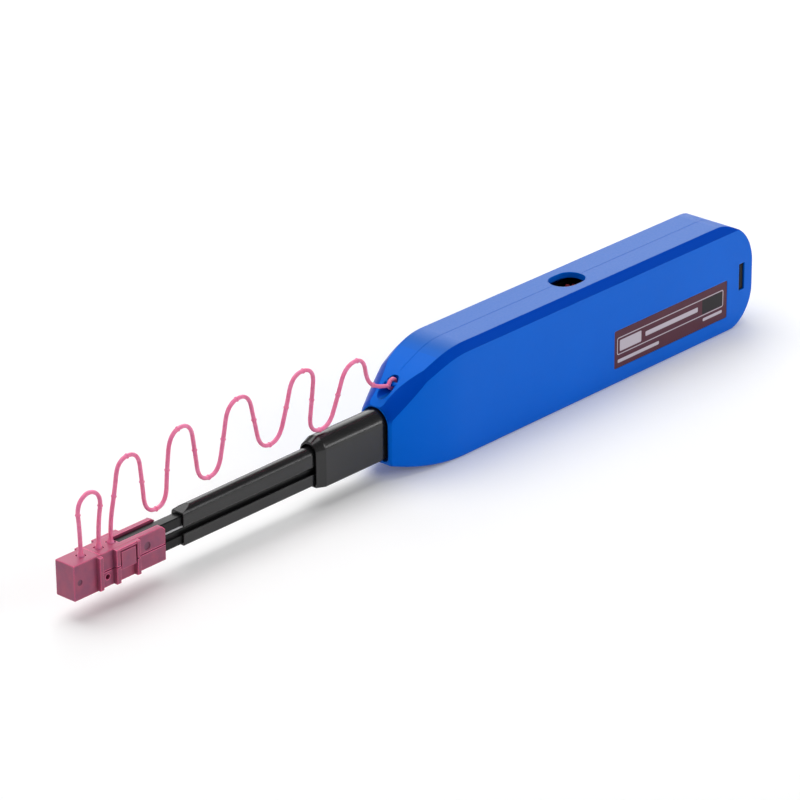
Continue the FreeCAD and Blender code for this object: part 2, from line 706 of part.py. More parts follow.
def ratchet_pawl():
    """A sprung finger on a post, whose end drops behind the ratchet's teeth."""
    post_x, post_z = post_places[1]
    ring = cylinder_y(post_x, post_z, 2.3, -3.1, -2.2).cut(cylinder_y(post_x, post_z, 1.5, -4, 0))
    tip_px, tip_pz = take_up_x - 3.9, reel_z + 5.35
    finger = polygon_y([(post_x + 1.2, post_z - 1.9), (post_x + 1.9, post_z - 1.1), (tip_px + 0.3, tip_pz + 0.75),
                        (tip_px + 0.25, tip_pz), (tip_px - 0.6, tip_pz + 0.25)], -3.1, -2.2)
    return ring.fuse(finger).removeSplitter()


def brake_leaf():
    """A thin leaf that rides just off the supply reel's rim and keeps the reel from running free."""
    x0, z0 = post_places[0]
    rim = supply_x - flange_radius - 0.5
    leaf = ribbon([(x0 - 1.8, z0), (x0 - 2.6, z0 - 4.5), (rim, reel_z), (rim - 0.6, reel_z - 3.4)],
                  0.25, -2.3, -1.3)
    clip = cylinder_y(x0, z0, 2.0, -2.3, -1.3).cut(cylinder_y(x0, z0, 1.5, -3, 0))
    return leaf.fuse(clip).removeSplitter()


spring_coils = 7
spring_steps = 12
spring_radius = 3.9
spring_wire = 0.8
spring_closing = 0.6
spring_z = 15.0


def return_spring():
    """The compression spring between the chassis and the handle's cross wall, closer wound at its ends."""
    start, end = frame_rear_x + spring_wire / 2, spring_wall_x - spring_wire / 2
    count = spring_coils * spring_steps
    corners = []
    for i in range(count + 1):
        share = i / count
        angle = 2 * math.pi * i / spring_steps
        rise = share - spring_closing * math.sin(2 * math.pi * share) / (2 * math.pi)
        corners.append(V(start + (end - start) * rise, spring_radius * math.cos(angle),
                         spring_z + spring_radius * math.sin(angle)))
    ring = Part.makeCircle(spring_wire / 2, corners[0], corners[1] - corners[0])
    section = Part.makePolygon(ring.discretize(7))
    return Part.makePolygon(corners).makePipeShell([section], True, False, 1)


# ---------------------------------------------------------------- caps

def root_pit_cut(x):
    half = root_pit / 2
    return box(x - half, x + half, -half, half, cap_high_z - root_pit_depth, cap_high_z + 1)


def proud_box(x0, x1, z0, z1, proud=rib_proud):
    """A block standing off the cap's near side, with its outer edges rounded."""
    outer = -cap_half_width - proud
    block = box(x0, x1, outer, -cap_half_width + 0.2, z0, z1)
    edges = [edge for edge in block.Edges if edge.BoundBox.YMax < outer + 0.01]
    return block.makeFillet(rib_edge_round, edges)


def guide_frame():
    """The raised frame on the guide's side: two legs, a top bar and a tab that runs into the left foot."""
    top = cap_high_z - 0.1
    shape = proud_box(-112.1, -110.75, 5.9, top)
    shape = shape.fuse(proud_box(-105.25, -104.15, 5.9, top))
    shape = shape.fuse(box(-111.0, -105.0, -cap_half_width - rib_proud + rib_edge_round,
                           -cap_half_width + 0.2, 14.2, top))
    shape = shape.fuse(proud_box(-110.45, -105.55, 9.2, 13.9, rib_proud - 0.1))
    shape = shape.fuse(box(-111.2, -110.2, -cap_half_width - rib_proud + rib_edge_round,
                           -cap_half_width + 0.2, 9.25, 10.2))
    split = box(-112.2, -110.4, -cap_half_width - 2, -cap_half_width - 0.2, 10.2, 10.5)
    notch = box(-105.3, -104.7, -cap_half_width - 2, -cap_half_width - 0.5, 10.2, 10.5)
    return shape.cut(split).cut(notch)


def guide_cap():
    """The connector guide: a square sleeve, open along its top behind, with latch frames on its sides."""
    w = cap_half_width
    body = box(seam_x, guide_rear_x, -w, w, cap_low_z, cap_high_z)
    edges = [edge for edge in body.Edges if edge.BoundBox.XMax > guide_rear_x - 0.01]
    body = body.makeFillet(cap_edge_round, edges)
    spigot = box(seam_x - 5.6, seam_x, -2.3, 2.3, cap_low_z + 0.95, cap_high_z - 0.35)
    body = body.fuse(spigot).fuse(guide_frame()).fuse(mirrored(guide_frame()))
    channel = box(seam_x - 7, guide_rear_x + 1, -tip_half_width - 0.15, tip_half_width + 0.15,
                  tip_low_z - 0.2, tip_high_z + 0.12)
    open_top = box(-108.6, guide_rear_x + 1, -tip_half_width - 0.15, tip_half_width + 0.15, 12.0, 17.0)
    body = body.cut(channel).cut(open_top)
    for x0, x1 in ((seam_x + 0.4, -112.1), (-104.15, guide_rear_x + 0.3)):
        line = box(x0, x1, -w - 1, -w + 0.45, 9.86, 10.16)
        body = body.cut(line).cut(mirrored(line))
    body = body.cut(cylinder_y(-114.15, 8.4, 0.7, -5, -w + 1.2))
    body = body.cut(cylinder_y(-100.85, 11.7, 0.95, -5, -w + 0.2))
    arm_bevel = polygon_y([(guide_rear_x - 1.3, cap_high_z + 0.1), (guide_rear_x + 0.1, cap_high_z + 0.1),
                           (guide_rear_x + 0.1, cap_high_z - 1.2)], -5, 0)
    body = body.cut(arm_bevel)
    hook = polygon_y([(guide_rear_x - 0.05, cap_high_z), (guide_rear_x + 1.05, cap_high_z - 0.55),
                      (guide_rear_x + 0.3, cap_high_z - 1.6), (guide_rear_x - 0.05, cap_high_z - 1.6)],
                     tip_half_width + 0.15, w)
    body = body.fuse(hook)
    for x in (loop_rear_x, strap_root_x):
        body = body.cut(root_pit_cut(x))
    return body.removeSplitter()


def end_cap():
    """The dust cap over the guide's open front, with a finger rib down each side."""
    w = cap_half_width
    body = box(tip_x, seam_x - 0.05, -w, w, cap_low_z - 0.1, cap_high_z)
    edges = [edge for edge in body.Edges if edge.BoundBox.XMin < tip_x + 0.01]
    body = body.makeFillet(cap_edge_round, edges)
    rib = proud_box(seam_x - 1.25, seam_x - 0.05, cap_low_z + 0.3, cap_high_z - 0.25)
    body = body.fuse(rib).fuse(mirrored(rib))
    body = body.cut(cylinder_y(-123.15, 10.2, 0.65, -5, -w + 0.15))
    hollow = box(tip_x + 1.1, seam_x + 1, -2.4, 2.4, cap_low_z + 0.85, cap_high_z - 0.3)
    return body.cut(hollow).cut(root_pit_cut(loop_front_x)).removeSplitter()


# ---------------------------------------------------------------- tether

pit_floor_z = cap_high_z - root_pit_depth

loop_route = [
    (loop_front_x, 0.0, pit_floor_z), (loop_front_x, 0.0, 21.6), (-120.3, 0.0, 28.2), (-116.15, 0.0, 30.85),
    (-112.2, 0.0, 28.0), (-113.6, 0.0, 21.4), (loop_rear_x, 0.0, pit_floor_z)]

strap_route = [
    (strap_root_x, 0.0, pit_floor_z), (-109.7, 0.0, 20.3), (-107.9, 0.0, 27.5),
    (-106.6, 0.0, 35.2), (-99.8, 0.0, 35.3), (-98.9, 0.0, 27.0),
    (-98.1, 0.0, 18.3), (-91.2, 0.0, 18.2), (-90.5, 0.0, 27.2),
    (-89.2, 0.0, 36.3), (-82.2, 0.0, 36.9), (-81.0, 0.0, 28.6),
    (-79.9, 0.0, 20.4), (-73.2, 0.0, 20.2), (-71.2, 0.0, 28.9),
    (-69.4, 0.0, 37.3), (-62.3, 0.0, 37.9), (-60.5, 0.0, 30.0),
    (-58.6, 0.0, 21.7), (-52.0, 0.0, 21.6), (-49.2, 0.0, 29.4),
    (-46.7, 0.0, 37.7), (-39.0, 0.0, 37.0), (-40.1, 0.0, 28.4),
    (-41.3, 0.0, 20.3), (-34.3, 0.0, 19.0), (-30.9, 0.0, 26.0),
    (-27.9, 0.0, 33.6), (-21.2, 0.0, 34.0), (-20.0, 0.0, 26.6),
    (-15.6, 0.0, 23.9), (ring_x - ring_radius - ring_wire, 0.0, ring_z)]


def round_path(name, points):
    """Straight runs joined by arcs as large as the shorter of the two runs allows."""
    corners = [V(*p) for p in points]
    edges = []
    start = corners[0]
    length = 0.0
    radii = []
    for i in range(1, len(corners) - 1):
        corner = corners[i]
        back = corners[i - 1] - corner
        ahead = corners[i + 1] - corner
        reach = 0.45 * min(back.Length, ahead.Length)
        back.normalize()
        ahead.normalize()
        turn = math.pi - back.getAngle(ahead)
        radius = reach / math.tan(turn / 2)
        radii.append(radius)
        enter = corner + back * reach
        leave = corner + ahead * reach
        inward = back + ahead
        inward.normalize()
        centre = corner + inward * (radius / math.cos(turn / 2))
        middle = centre - inward * radius
        edges.append(Part.LineSegment(start, enter).toShape())
        edges.append(Part.Arc(enter, middle, leave).toShape())
        length += (enter - start).Length + radius * turn
        start = leave
    edges.append(Part.LineSegment(start, corners[-1]).toShape())
    length += (corners[-1] - start).Length
    print(name, "length", round(length, 1), "radii", [round(r, 1) for r in radii])
    return Part.Wire(edges), length


def tether(name, points):
    """A moulded strap of round section along its route."""
    path, length = round_path(name, points)
    first = V(*points[0])
    section = Part.Wire(Part.makeCircle(strap_diameter / 2, first, V(*points[1]) - first))
    tube = path.makePipeShell([section], True, False)
    expected = math.pi * strap_diameter ** 2 / 4 * length
    print(name, "volume", round(tube.Volume, 2), "expected", round(expected, 2))
    return tube


def tether_ring():
    """The eye at the strap's end, looped round the bar in the handle's nose."""
    return Part.makeTorus(ring_radius, ring_wire, V(ring_x, 0, ring_z), V(0, 1, 0))


parts = {
    "shell_left": shell_left,
    "shell_right": shell_right,
    "label_plate": label_plate,
    "slot_insert": slot_insert,
    "drive_rack": drive_rack,
    "outer_sleeve": outer_sleeve,
    "inner_sleeve": inner_sleeve,
    "tip_upper_rail": tip_upper_rail,
    "tip_lower_rail": tip_lower_rail,
    "tip_pad": tip_pad,
    "cleaning_tape": cleaning_tape,
    "carriage_frame": carriage_frame,
    "carriage_cover": carriage_cover,
    "feed_pin": lambda: guide_pin(*feed_pin),
    "return_pin": lambda: guide_pin(*return_pin),
    "lower_front_pin": lambda: guide_pin(*lower_front_pin),
    "lower_rear_pin": lambda: guide_pin(*lower_rear_pin),
    "ratchet_pawl": ratchet_pawl,
    "brake_leaf": brake_leaf,
    "return_spring": return_spring,
    "supply_axle": lambda: axle(*axle_places[0]),
    "take_up_axle": lambda: axle(*axle_places[1]),
    "pinion_axle": lambda: axle(*axle_places[2]),
    "supply_reel": supply_reel,
    "supply_roll": lambda: tape_roll(supply_x, supply_roll_radius),
    "take_up_reel": take_up_reel,
    "take_up_roll": lambda: tape_roll(take_up_x, take_up_roll_radius),
    "drive_pinion": drive_pinion,
    "guide_cap": guide_cap,
    "end_cap": end_cap,
    "tether_ring": tether_ring,
    "tether_strap": lambda: tether("tether_strap", strap_route),
    "tether_loop": lambda: tether("tether_loop", loop_route),
}

os.makedirs("parts", exist_ok=True)
for name, make in parts.items():
    shape = make()
    print(name, "valid", shape.isValid(), "solids", len(shape.Solids), "volume", round(shape.Volume, 1))
    shape.exportStep("parts/" + name + ".step")
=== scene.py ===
import bpy, json, math
import numpy as np
from mathutils import Matrix, Vector


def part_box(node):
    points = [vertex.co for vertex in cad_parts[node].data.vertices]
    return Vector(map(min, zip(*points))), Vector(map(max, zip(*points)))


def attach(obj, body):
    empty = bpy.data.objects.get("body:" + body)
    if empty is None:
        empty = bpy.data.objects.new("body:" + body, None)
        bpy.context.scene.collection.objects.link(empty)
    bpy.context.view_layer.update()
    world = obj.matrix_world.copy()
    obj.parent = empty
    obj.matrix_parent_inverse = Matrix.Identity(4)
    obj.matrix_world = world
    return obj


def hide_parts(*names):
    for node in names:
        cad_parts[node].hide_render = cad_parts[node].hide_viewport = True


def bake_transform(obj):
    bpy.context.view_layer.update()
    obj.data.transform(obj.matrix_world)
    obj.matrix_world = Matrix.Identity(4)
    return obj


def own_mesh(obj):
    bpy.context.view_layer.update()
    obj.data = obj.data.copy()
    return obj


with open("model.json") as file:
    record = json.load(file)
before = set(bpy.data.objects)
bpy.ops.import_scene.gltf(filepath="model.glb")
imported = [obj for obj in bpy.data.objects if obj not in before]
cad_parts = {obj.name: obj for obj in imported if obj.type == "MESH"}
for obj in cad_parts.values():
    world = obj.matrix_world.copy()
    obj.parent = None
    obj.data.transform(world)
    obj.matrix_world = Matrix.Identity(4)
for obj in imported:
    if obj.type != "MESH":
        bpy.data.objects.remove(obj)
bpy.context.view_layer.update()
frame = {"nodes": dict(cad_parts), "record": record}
nodes = frame["nodes"]
print("frame loaded:", len(nodes), "nodes")

# the camera stands before the nose, on the label's side, and looks down

cameraLook = {
    "place": (-0.73262, -0.66415, 0.45346),             # metres
    "azimuth": -47.5, "elevation": 23.9, "roll": 0.5,   # degrees
    "lens": 191.25,                                     # mm, on a 36 mm sensor
}


def placeCamera(look):
    azimuth, elevation, roll = (math.radians(look[k]) for k in ("azimuth", "elevation", "roll"))
    level = Vector((math.cos(azimuth), math.sin(azimuth), 0))
    back = Vector((level.y * math.cos(elevation), -level.x * math.cos(elevation), math.sin(elevation)))
    down = level.cross(back)
    right = level * math.cos(roll) + down * math.sin(roll)
    up = back.cross(right)
    lens = bpy.data.cameras.new("penCamera")
    lens.lens, lens.sensor_width = look["lens"], 36
    lens.clip_start, lens.clip_end = 0.05, 20
    camera = bpy.data.objects.new("penCamera", lens)
    camera.matrix_world = Matrix.Translation(look["place"]) @ Matrix((right, up, back)).transposed().to_4x4()
    bpy.context.scene.collection.objects.link(camera)
    bpy.context.scene.camera = camera


placeCamera(cameraLook)
print("camera placed")

# every piece made here is a grid of points, closed round and capped


def gridPiece(name, grid):
    # a grid of points (along, round, xyz) made a mesh; it closes on itself all round, and one face closes each end
    along, around = grid.shape[:2]
    points = grid.reshape(-1, 3)
    i, j = np.meshgrid(np.arange(along - 1), np.arange(around), indexing="ij")
    nextJ = (j + 1) % around
    faces = np.stack([i * around + j, i * around + nextJ, (i + 1) * around + nextJ, (i + 1) * around + j], -1)
    faces = faces.reshape(-1, 4).tolist()
    faces.append(list(range(around))[::-1])
    faces.append([(along - 1) * around + k for k in range(around)])
    mesh = bpy.data.meshes.new(name)
    mesh.from_pydata(points.tolist(), [], faces)
    mesh.polygons.foreach_set("use_smooth", np.ones(len(mesh.polygons), bool))
    mesh.update()
    piece = bpy.data.objects.new(name, mesh)
    bpy.context.scene.collection.objects.link(piece)
    return piece


# tether: one long strap in two pieces that meet over the nozzle, and a short loop between the caps

strapRoute = [     # x and z in mm, from the guide to the eye at the nose
    (-109.85, 14.75), (-109.7, 20.3), (-107.9, 27.5), (-106.6, 35.2), (-99.8, 35.3), (-98.9, 27.0),
    (-98.1, 18.3), (-91.2, 18.2), (-90.5, 27.2), (-89.2, 36.3), (-82.2, 36.9), (-81.0, 28.6),
    (-79.9, 20.4), (-73.2, 20.2), (-71.2, 28.9), (-69.4, 37.3), (-62.3, 37.9), (-60.5, 30.0),
    (-58.6, 21.7), (-52.0, 21.6), (-49.2, 29.4), (-46.7, 37.7), (-39.0, 37.0), (-40.1, 28.4),
    (-41.3, 20.3), (-34.3, 19.0), (-30.9, 26.0), (-27.9, 33.6), (-21.2, 34.0), (-20.0, 26.6),
    (-15.6, 23.9), (-12.45, 23.3)]
loopRoute = [
    (-119.6, 14.75), (-119.6, 21.6), (-120.3, 28.2), (-116.15, 30.85), (-112.2, 28.0), (-113.6, 21.4),
    (-113.8, 14.75)]

strapShape = {
    "thickness": 1.02, "width": 1.16,                 # mm
    "beadFirst": 11.8, "beadEvery": 10.9,             # mm along the strap, from the guide
    "bead": 0.2, "beadLength": 0.22,                  # mm, the height and half length of one collar
    "root": 0.5, "rootLength": 0.8,                   # mm, the height and length of the flare at a cap
    "rootFall": 1.6,                                  # the power it falls off by
    "beadWide": 0.9, "rootWide": 0.85,                # the same growth across, as a share
    "join": -65.5, "joinAbove": 36,                   # mm along the pen and up, where the two pieces meet
    "clear": 4,                                       # mm kept free of collars at the nose
    "around": 20,                                     # points round the section
}


def smoothLine(route, name):
    # the route's points as control points of one smooth line, read back as many points, in metres
    curve = bpy.data.curves.new(name, "CURVE")
    curve.dimensions = "3D"
    spline = curve.splines.new("NURBS")
    spline.points.add(len(route) - 1)
    for point, (x, z) in zip(spline.points, route):
        point.co = (x / 1000, 0, z / 1000, 1)
    spline.order_u = 3
    spline.use_endpoint_u = True
    curve.resolution_u = 40
    holder = bpy.data.objects.new(name, curve)
    mesh = bpy.data.meshes.new_from_object(holder)
    line = np.zeros(len(mesh.vertices) * 3)
    mesh.vertices.foreach_get("co", line)
    bpy.data.objects.remove(holder)
    return line.reshape(-1, 3)


def runAlong(line):
    # the length run at each point of the line, in metres
    return np.concatenate([[0], np.cumsum(np.linalg.norm(np.diff(line, axis=0), axis=1))])


def strapPiece(name, line, run, beads, roots, look):
    # an oval section carried along the line; the half width grows in a short bell at each bead and at each root
    forward = np.gradient(line, axis=0)
    forward /= np.linalg.norm(forward, axis=1)[:, None]
    across = np.array([0.0, 1.0, 0.0])
    outward = np.cross(forward, across)
    growth = np.zeros(len(run))
    for at in beads:
        growth += look["bead"] * np.exp(-(((run - at) * 1000 / look["beadLength"]) ** 2))
    flare = np.zeros(len(run))
    for at in roots:
        flare += look["root"] * np.exp(-(np.abs(run - at) * 1000 / look["rootLength"]) ** look["rootFall"])
    angle = np.linspace(0, 2 * np.pi, look["around"], endpoint=False)
    thick = (look["thickness"] / 2 + growth + flare)[:, None, None] / 1000
    wide = (look["width"] / 2 + growth * look["beadWide"] + flare * look["rootWide"])[:, None, None] / 1000
    grid = (line[:, None, :] + thick * np.cos(angle)[None, :, None] * outward[:, None, :]
            + wide * np.sin(angle)[None, :, None] * across[None, None, :])
    return gridPiece(name, grid)


def makeTether(look):
    line = smoothLine(strapRoute, "strapLine")
    run = runAlong(line)
    beads = np.arange(look["beadFirst"], run[-1] * 1000 - look["clear"], look["beadEvery"]) / 1000
    low = line[:, 2] < look["joinAbove"] / 1000
    cut = int(np.argmin(np.abs(line[:, 0] * 1000 - look["join"]) + low))      # low points count as 1 mm further off
    front = strapPiece("strapFront", line[:cut + 1], run[:cut + 1], beads, [0.0], look)
    rear = strapPiece("strapRear", line[cut:], run[cut:], beads, [], look)
    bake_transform(front)
    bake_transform(rear)
    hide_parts("tether_strap")
    loopLine = smoothLine(loopRoute, "loopLine")
    loopRun = runAlong(loopLine)
    loopBeads = np.array([look["beadEvery"] / 1000, loopRun[-1] - look["beadEvery"] / 1000])
    loop = strapPiece("capLoop", loopLine, loopRun, loopBeads, [0.0, loopRun[-1]], look)
    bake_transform(loop)
    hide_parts("tether_loop")
    return front, rear, loop


tetherPieces = makeTether(strapShape)

# return spring, a coil fixed to the handle; the real one shortens towards the handle's rear wall as the nozzle is
# pushed

springShape = {
    "wire": 0.0008, "coils": 7,           # metres
    "closing": 0.6,                       # how far the end coils close up, as a share
    "steps": 48, "around": 12,            # points along one coil and round the wire
}


def makeSpring(look):
    # the wire goes round evenly, and along the pen it runs slower near both ends by a sine, so those coils close up
    low, high = (np.array(corner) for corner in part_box("return_spring"))
    half = look["wire"] / 2
    radius = (high[2] - low[2]) / 2 - half
    share = np.linspace(0, 1, look["coils"] * look["steps"] + 1)
    angle = 2 * np.pi * look["coils"] * share
    rise = share - look["closing"] * np.sin(2 * np.pi * share) / (2 * np.pi)
    outward = np.stack([np.zeros_like(angle), np.cos(angle), np.sin(angle)], 1)
    line = radius * outward + [0, (low[1] + high[1]) / 2, (low[2] + high[2]) / 2]
    line[:, 0] = low[0] + half + (high[0] - low[0] - look["wire"]) * rise
    forward = np.gradient(line, axis=0)
    forward /= np.linalg.norm(forward, axis=1)[:, None]
    side = np.cross(outward, forward)
    turn = np.linspace(0, 2 * np.pi, look["around"], endpoint=False)[None, :, None]
    wire = half * (np.cos(turn) * outward[:, None] + np.sin(turn) * side[:, None])
    spring = gridPiece("springCoil", line[:, None] + wire)
    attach(spring, "handle")
    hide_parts("return_spring")
    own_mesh(spring)
    print("spring made:", round((high[0] - low[0]) * 1000, 1), "mm long")
    return spring


springCoil = makeSpring(springShape)

# finishes, all worked out from object coordinates


class Finish:
    # a material with its Principled shader, and short calls for the nodes that feed it

    def __init__(self, name, colour, **values):
        self.material = bpy.data.materials.new(name)
        self.material.use_nodes = True
        self.tree = self.material.node_tree
        self.shader = self.tree.nodes["Principled BSDF"]
        self.shader.inputs["Base Color"].default_value = (*colour, 1)
        for key, value in values.items():
            self.shader.inputs[key.replace("_", " ")].default_value = value
        self.place = self.add("ShaderNodeTexCoord").outputs["Object"]

    def add(self, kind, **values):
        node = self.tree.nodes.new(kind)
        for key, value in values.items():
            setattr(node, key, value)
        return node

    def link(self, source, target):
        self.tree.links.new(source, target)

    def feed(self, source, name):
        self.link(source, self.shader.inputs[name])

    def noise(self, scale, detail=2.0, stretch=None):
        node = self.add("ShaderNodeTexNoise")
        node.inputs["Scale"].default_value = scale
        node.inputs["Detail"].default_value = detail
        source = self.place
        if stretch:
            mapping = self.add("ShaderNodeMapping")
            mapping.inputs["Scale"].default_value = stretch
            self.link(source, mapping.inputs["Vector"])
            source = mapping.outputs["Vector"]
        self.link(source, node.inputs["Vector"])
        return node.outputs["Fac"]

    def ramp(self, source, low, high, first=0.0, last=1.0, smooth=False):
        node = self.add("ShaderNodeMapRange", interpolation_type="SMOOTHSTEP" if smooth else "LINEAR")
        for key, value in (("From Min", low), ("From Max", high), ("To Min", first), ("To Max", last)):
            node.inputs[key].default_value = value
        self.link(source, node.inputs["Value"])
        return node.outputs["Result"]

    def math(self, operation, first, second):
        node = self.add("ShaderNodeMath", operation=operation)
        for slot, value in enumerate((first, second)):
            if isinstance(value, (int, float)):
                node.inputs[slot].default_value = value
            else:
                self.link(value, node.inputs[slot])
        return node.outputs[0]

    def mix(self, source, first, last):
        node = self.add("ShaderNodeMix", data_type="RGBA")
        self.link(source, node.inputs["Factor"])
        for key, value in (("A", first), ("B", last)):
            if isinstance(value, tuple):
                node.inputs[key].default_value = (*value, 1)
            else:
                self.link(value, node.inputs[key])
        return node.outputs["Result"]

    def axis(self, letter):
        node = self.add("ShaderNodeSeparateXYZ")
        self.link(self.place, node.inputs[0])
        return node.outputs[letter]

    def length(self, across, up):
        # the root of the two squares' sum
        square = self.math("ADD", self.math("MULTIPLY", across, across), self.math("MULTIPLY", up, up))
        return self.math("SQRT", square, 0)

    def facing(self, direction):
        # how far the surface faces that way, as the product of its normal with the direction
        turn = self.add("ShaderNodeTexCoord").outputs["Normal"]
        node = self.add("ShaderNodeVectorMath", operation="DOT_PRODUCT")
        self.link(turn, node.inputs[0])
        node.inputs[1].default_value = Vector(direction).normalized()
        return node.outputs["Value"]

    def hollows(self, distance, inside=False):
        # 1 on open faces, less in grooves and corners, or with inside less along outer edges
        node = self.add("ShaderNodeAmbientOcclusion", samples=12, only_local=inside, inside=inside)
        node.inputs["Distance"].default_value = distance
        return node.outputs["AO"]

    def relief(self, height, distance, strength=1.0, rounding=0.0, joint=0.0):
        # a fine bump on edges rounded in shading; within the joint's width of y = 0 two halves meet flush, unrounded
        bump = self.add("ShaderNodeBump")
        bump.inputs["Distance"].default_value = distance
        bump.inputs["Strength"].default_value = strength
        self.link(height, bump.inputs["Height"])
        if rounding:
            edge = self.add("ShaderNodeBevel", samples=8)
            edge.inputs["Radius"].default_value = rounding
            rounded = edge.outputs["Normal"]
            if joint:
                blend = self.add("ShaderNodeMix", data_type="VECTOR")     # its vector sockets are inputs 4 and 5, output 1
                fromJoint = self.math("ABSOLUTE", self.axis("Y"), 0)
                self.link(self.ramp(fromJoint, joint, joint * 2), blend.inputs["Factor"])
                self.link(self.add("ShaderNodeNewGeometry").outputs["Normal"], blend.inputs[4])
                self.link(rounded, blend.inputs[5])
                rounded = blend.outputs[1]
            self.link(rounded, bump.inputs["Normal"])
        self.feed(bump.outputs["Normal"], "Normal")


def linear(*colour):
    # display values from 0 to 255, turned to linear light
    shares = [value / 255 for value in colour]
    return tuple(v / 12.92 if v <= 0.04045 else ((v + 0.055) / 1.055) ** 2.4 for v in shares)


handleLook = {
    "colour": (0, 106, 226), "deep": (0, 101, 219),      # the wall and its clouding
    "chamferShade": (0, 68, 184), "top": (6, 93, 189),       # the long chamfers and the top, darker than the wall as painted shade
    "sheen": (0.03, 0.42, 1.0), "gloss": 0.22, "roughness": 0.34,
    "rounding": 0.0004, "joint": 0.00045,                # metres: edges rounded in shading, half the flush joint
    "topFacing": (0.9, 0.995), "chamferFacing": (0.84, 0.985),
    "flareFacing": (0.84, 0.96), "flareWay": (-0.55, 0.62, 0.55),
}
sleeveLook = {"colour": (27, 27, 28), "deep": (20, 20, 21), "gloss": 0.5, "roughness": 0.2, "rounding": 0.00045}
capLook = {
    "colour": (172, 76, 106), "deep": (148, 72, 106), "roughness": 0.46,
    # the edge colour is a painted highlight, the top colour painted light on faces turned up, the groove colour
    # painted shade in grooves and corners
    "edge": (244, 104, 150), "top": (186, 86, 120), "groove": (74, 10, 34),
    "edgeHighlightWidth": 0.00025, "grooveReach": 0.0012,         # metres
    "dimpleShade": (118, 58, 88),                               # the dimples, in painted shade
    "spots": [(-0.12315, 0.0102, 0.00082), (-0.10085, 0.0117, 0.00113)],     # metres: x, z and radius
}
tetherLook = {"colour": (250, 136, 180), "deep": (240, 118, 164), "roughness": 0.4}
tapeLook = {"colour": (226, 226, 228), "deep": (132, 134, 138), "pitch": 0.00042}
labelLook = {
    "ground": (88, 38, 54), "line": (206, 196, 206), "block": (26, 22, 26),
    "frame": (0.0677, 0.1125, 0.0083, 0.0130),       # metres: first and last x, low and high z of the thin outline
    "dark": (0.1035, 0.1122, 0.0086, 0.0127),        # and of the dark field inside its rear end
    "bars": [(0.0688, 0.0775, 0.0092, 0.0121), (0.0795, 0.1015, 0.0101, 0.0112),
             (0.0680, 0.0850, 0.0060, 0.0067), (0.1040, 0.1120, 0.0066, 0.0072)],   # pale bars in place of print
    "stroke": 0.00018, "corner": 0.0005,
}


def handleFinish(look):
    finish = Finish("handleBlue", linear(*look["colour"]), Roughness=look["roughness"],
                    Specular_IOR_Level=look["gloss"], Specular_Tint=(*look["sheen"], 1))
    body = finish.mix(finish.ramp(finish.noise(30, 3), 0.25, 0.75), linear(*look["deep"]), linear(*look["colour"]))
    # painted shade: faces turned up take the darker top colour
    top = finish.ramp(finish.facing((0, 0, 1)), *look["topFacing"], smooth=True)
    body = finish.mix(top, body, linear(*look["top"]))
    flareX, flareY, flareZ = look["flareWay"]
    for side in (-1, 1):      # painted shade on a long chamfer and the flare it runs into at the nose
        chamfer = finish.ramp(finish.facing((0, side, 1)), *look["chamferFacing"], smooth=True)
        flare = finish.ramp(finish.facing((flareX, flareY * side, flareZ)), *look["flareFacing"], smooth=True)
        body = finish.mix(finish.math("MAXIMUM", chamfer, flare), body, linear(*look["chamferShade"]))
    finish.feed(body, "Base Color")
    grain = finish.noise(1400, 2)
    finish.feed(finish.ramp(grain, 0.3, 0.7, look["roughness"] - 0.03, look["roughness"] + 0.05), "Roughness")
    finish.relief(finish.noise(5200, 1), 0.00001, 0.35, look["rounding"], look["joint"])
    return finish.material


def blackFinish(name, look):
    # run marks along the part, as noise drawn out in x
    finish = Finish(name, linear(*look["colour"]), Roughness=look["roughness"], Specular_IOR_Level=look["gloss"])
    body = finish.mix(finish.ramp(finish.noise(140, 3), 0.35, 0.65), linear(*look["deep"]), linear(*look["colour"]))
    finish.feed(body, "Base Color")
    scuff = finish.noise(900, 4, (0.04, 1, 1))
    finish.feed(finish.ramp(scuff, 0.35, 0.75, look["roughness"] - 0.03, look["roughness"] + 0.06), "Roughness")
    finish.relief(scuff, 0.000006, 0.3, look["rounding"])
    return finish.material


def capFinish(look):
    finish = Finish("capMagenta", linear(*look["colour"]), Roughness=look["roughness"],
                    Subsurface_Weight=0.25, Subsurface_Scale=0.001)
    finish.shader.inputs["Subsurface Radius"].default_value = (1.0, 0.3, 0.5)
    body = finish.mix(finish.ramp(finish.noise(420, 4), 0.3, 0.7), linear(*look["deep"]), linear(*look["colour"]))
    # painted light: faces turned up take the lighter top colour
    body = finish.mix(finish.ramp(finish.facing((0, 0, 1)), 0.3, 0.9, smooth=True), body, linear(*look["top"]))
    openness = finish.hollows(look["grooveReach"])
    # a painted highlight along the outer edges, kept out of hollows
    rimHighlight = finish.ramp(finish.hollows(look["edgeHighlightWidth"], inside=True), 0.975, 0.82)
    body = finish.mix(finish.math("MULTIPLY", rimHighlight, finish.ramp(openness, 0.8, 0.95)), body, linear(*look["edge"]))
    # painted shade in grooves and corners, less dark on faces turned up
    upward = finish.ramp(finish.facing((0, 0, 1)), 0.3, 0.9)
    groove = finish.mix(upward, linear(*look["groove"]), linear(*look["deep"]))
    body = finish.mix(finish.ramp(openness, 0.15, 0.7, smooth=True), groove, body)
    for x, z, radius in look["spots"]:      # painted shade in a dimple, by the distance in x and z from its middle, on the label's side only
        alongX = finish.math("SUBTRACT", finish.axis("X"), x)
        alongZ = finish.math("SUBTRACT", finish.axis("Z"), z)
        disc = finish.ramp(finish.length(alongX, alongZ), radius + 0.00004, radius - 0.00002)
        nearSide = finish.ramp(finish.facing((0, -1, 0)), 0.3, 0.8)
        body = finish.mix(finish.math("MULTIPLY", disc, nearSide), body, linear(*look["dimpleShade"]))
    finish.feed(body, "Base Color")
    finish.relief(finish.noise(3000, 1), 0.00001, 0.3, 0.00022)
    return finish.material


